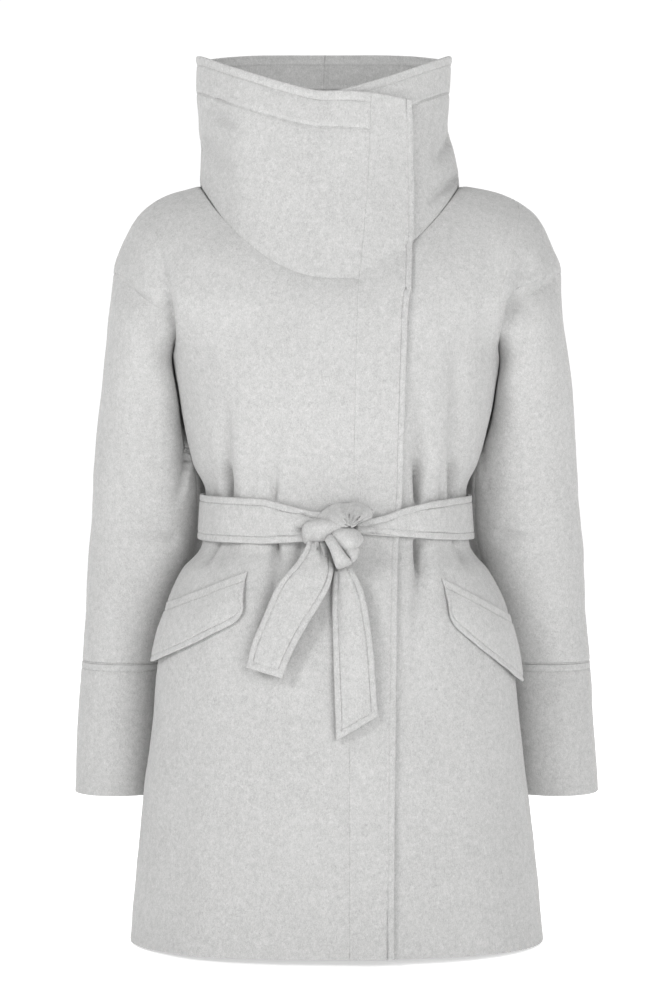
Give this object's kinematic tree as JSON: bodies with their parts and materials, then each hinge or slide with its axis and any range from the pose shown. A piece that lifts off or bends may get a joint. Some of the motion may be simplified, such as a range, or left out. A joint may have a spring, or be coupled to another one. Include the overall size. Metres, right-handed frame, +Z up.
{
  "type": "wrap coat",
  "caption": "Hollow mid-thigh wool wrap coat with a tall funnel collar, dropped shoulders, slanted pocket flaps and a tied belt, shaped as worn.",
  "frame": {"origin": "midway between the two points where the collar's seam meets the shoulders, inside the neck opening", "axes": "+Z up along the coat; -Y out of its front; +X towards the wearer's left side"},
  "size_m": [0.594, 0.298, 0.9869],
  "materials": {
    "wool": "brushed melton, pale heather grey, matte",
    "belt_wool": "brushed melton turned double, pale heather grey, matte"
  },
  "bodies": {
    "root": {"front_right": "wool", "front_band": "wool", "front_left": "wool", "side_right": "wool", "side_left": "wool", "back": "wool", "collar_right": "wool", "collar_left": "wool", "collar_band_right": "wool", "collar_band_left": "wool", "sleeve_top_right": "wool", "sleeve_top_left": "wool", "sleeve_under_right": "wool", "sleeve_under_left": "wool", "cuff_right": "wool", "cuff_left": "wool", "pocket_welt_right": "wool", "pocket_welt_left": "wool", "pocket_flap_right": "wool", "pocket_flap_left": "wool", "belt_waist": "belt_wool", "belt_knot": "belt_wool", "belt_tail_short": "belt_wool", "belt_tail_long": "belt_wool"}
  },
  "joints": []
}
